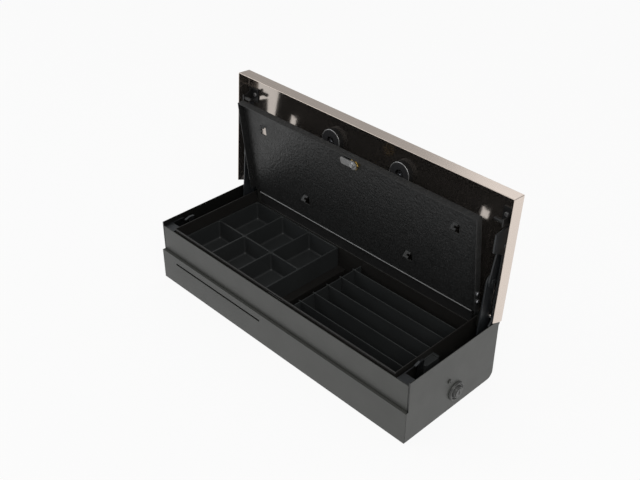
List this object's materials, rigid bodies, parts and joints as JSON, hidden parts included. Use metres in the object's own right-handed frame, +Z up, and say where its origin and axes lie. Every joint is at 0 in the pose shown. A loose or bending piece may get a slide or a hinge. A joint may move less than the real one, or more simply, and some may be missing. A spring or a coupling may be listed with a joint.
{
  "type": "flip-top cash drawer",
  "caption": "Low, wide steel cash drawer with a hinged stainless lid on two-link stays, a lockable inner lid, coin cups and upright note dividers",
  "frame": {"origin": "under the middle of the casing, at the height its pads stand on", "axes": "+X to the right along the front, +Y to the back, +Z up"},
  "size_m": [0.4611, 0.1733, 0.2629],
  "materials": {
    "case_paint": "satin",
    "rubber": "matte",
    "zinc": "satin",
    "stainless": "satin",
    "bright_steel": "glossy",
    "dark_steel": "satin",
    "tray_black": "satin",
    "plastic_black": "matte",
    "wrinkle_black": "matte",
    "brass": "satin",
    "coil_wrap": "satin"
  },
  "bodies": {
    "casing": {"base_panel": "case_paint", "base_pads": "rubber", "side_panel_left": "case_paint", "side_panel_right": "case_paint", "front_plate": "case_paint", "front_band": "case_paint", "rear_panel": "case_paint", "rear_cover": "stainless", "case_screws": "bright_steel", "hinge_brackets": "zinc", "tray": "tray_black", "slip_box": "tray_black", "tray_bearers": "tray_black", "coin_cups": "plastic_black", "note_rail_left": "plastic_black", "note_rail_right": "plastic_black", "note_dividers": "plastic_black", "tray_catches": "plastic_black", "hinge_leaf_tray": "bright_steel", "hinge_wire": "bright_steel", "stay_studs": "bright_steel", "stay_springs": "bright_steel", "latch_bracket_right": "zinc", "latch_bracket_left": "zinc", "solenoid_frame": "zinc", "solenoid_coil": "coil_wrap", "side_lock_barrel": "dark_steel", "side_lock_nut": "zinc", "lid_switch": "plastic_black", "switch_lever": "zinc", "cable_grommet": "rubber", "signal_socket": "plastic_black"},
    "inner_lid": {"inner_lid": "wrinkle_black", "hinge_leaf_lid": "bright_steel", "inner_lid_screws": "bright_steel", "inner_lock_barrel": "brass"},
    "inner_lock": {"inner_lock_plug": "brass", "inner_lock_cam": "bright_steel", "inner_lock_screw": "bright_steel"},
    "lid": {"lid_cover": "stainless", "lid_rails": "dark_steel", "lid_hinge_pins": "bright_steel", "stay_lid_pins": "bright_steel", "striker_right": "zinc", "striker_left": "zinc", "striker_screws": "bright_steel", "lid_magnets": "dark_steel", "magnet_screws": "bright_steel"},
    "lower_stay_right": {"lower_stay_right": "dark_steel"},
    "lower_stay_left": {"lower_stay_left": "dark_steel"},
    "upper_stay_right": {"upper_stay_right": "dark_steel"},
    "upper_stay_left": {"upper_stay_left": "dark_steel"},
    "latch": {"latch_hook_right": "zinc", "latch_hook_left": "zinc", "latch_shaft": "zinc"},
    "plunger": {"solenoid_plunger": "bright_steel"},
    "release_rod": {"release_rod": "zinc"},
    "side_lock": {"side_lock_plug": "dark_steel", "side_lock_crank": "bright_steel"}
  },
  "joints": [
    {"name": "lid_swing", "type": "hinge", "parent": "casing", "child": "lid", "pos_m": [0, 0.0762, 0.096], "axis": [1, 0, 0], "range_deg": [0, 93.9], "stiffness_Nm_per_rad": 0.6, "springref_deg": -68.75},
    {"name": "inner_lid_swing", "type": "hinge", "parent": "casing", "child": "inner_lid", "pos_m": [0, 0.0718, 0.09], "axis": [1, 0, 0], "range_deg": [0, 83.3]},
    {"name": "lower_stay_right_swing", "type": "hinge", "parent": "casing", "child": "lower_stay_right", "pos_m": [0.213, 0.064, 0.05], "axis": [1, 0, 0], "range_deg": [0, 96]},
    {"name": "lower_stay_left_swing", "type": "hinge", "parent": "casing", "child": "lower_stay_left", "pos_m": [-0.213, 0.064, 0.05], "axis": [1, 0, 0], "range_deg": [0, 96]},
    {"name": "upper_stay_right_swing", "type": "hinge", "parent": "lid", "child": "upper_stay_right", "pos_m": [0.2154, 0.0822, 0.194], "axis": [1, 0, 0], "range_deg": [-96, 0]},
    {"name": "upper_stay_left_swing", "type": "hinge", "parent": "lid", "child": "upper_stay_left", "pos_m": [-0.2154, 0.0822, 0.194], "axis": [1, 0, 0], "range_deg": [-96, 0]},
    {"name": "inner_lock_turn", "type": "hinge", "parent": "inner_lid", "child": "inner_lock", "pos_m": [0.008, 0.05607, 0.22388], "axis": [0, 0.9932, 0.1167], "range_deg": [0, 90]},
    {"name": "latch_turn", "type": "hinge", "parent": "casing", "child": "latch", "pos_m": [0, -0.048, 0.0085], "axis": [1, 0, 0], "range_deg": [0, 6.5]},
    {"name": "plunger_slide", "type": "slide", "parent": "casing", "child": "plunger", "axis": [0, -1, 0], "range_m": [0, 0.0018]},
    {"name": "release_rod_slide", "type": "slide", "parent": "casing", "child": "release_rod", "axis": [0, -1, 0], "range_m": [0, 0.0024]},
    {"name": "side_lock_turn", "type": "hinge", "parent": "casing", "child": "side_lock", "pos_m": [0.2255, 0.008, 0.025], "axis": [1, 0, 0], "range_deg": [0, 90.1]}
  ],
  "couplings": [
    {"joint": "inner_lid_swing", "follows": "lid_swing", "ratio": 0.887},
    {"joint": "lower_stay_right_swing", "follows": "lid_swing", "ratio": 1.02},
    {"joint": "lower_stay_left_swing", "follows": "lid_swing", "ratio": 1.02},
    {"joint": "upper_stay_right_swing", "follows": "lid_swing", "ratio": -1.02},
    {"joint": "upper_stay_left_swing", "follows": "lid_swing", "ratio": -1.02},
    {"joint": "plunger_slide", "follows": "latch_turn", "m_per_rad": 0.01547},
    {"joint": "release_rod_slide", "follows": "latch_turn", "m_per_rad": 0.02046},
    {"joint": "side_lock_turn", "follows": "latch_turn", "ratio": 13.846}
  ]
}
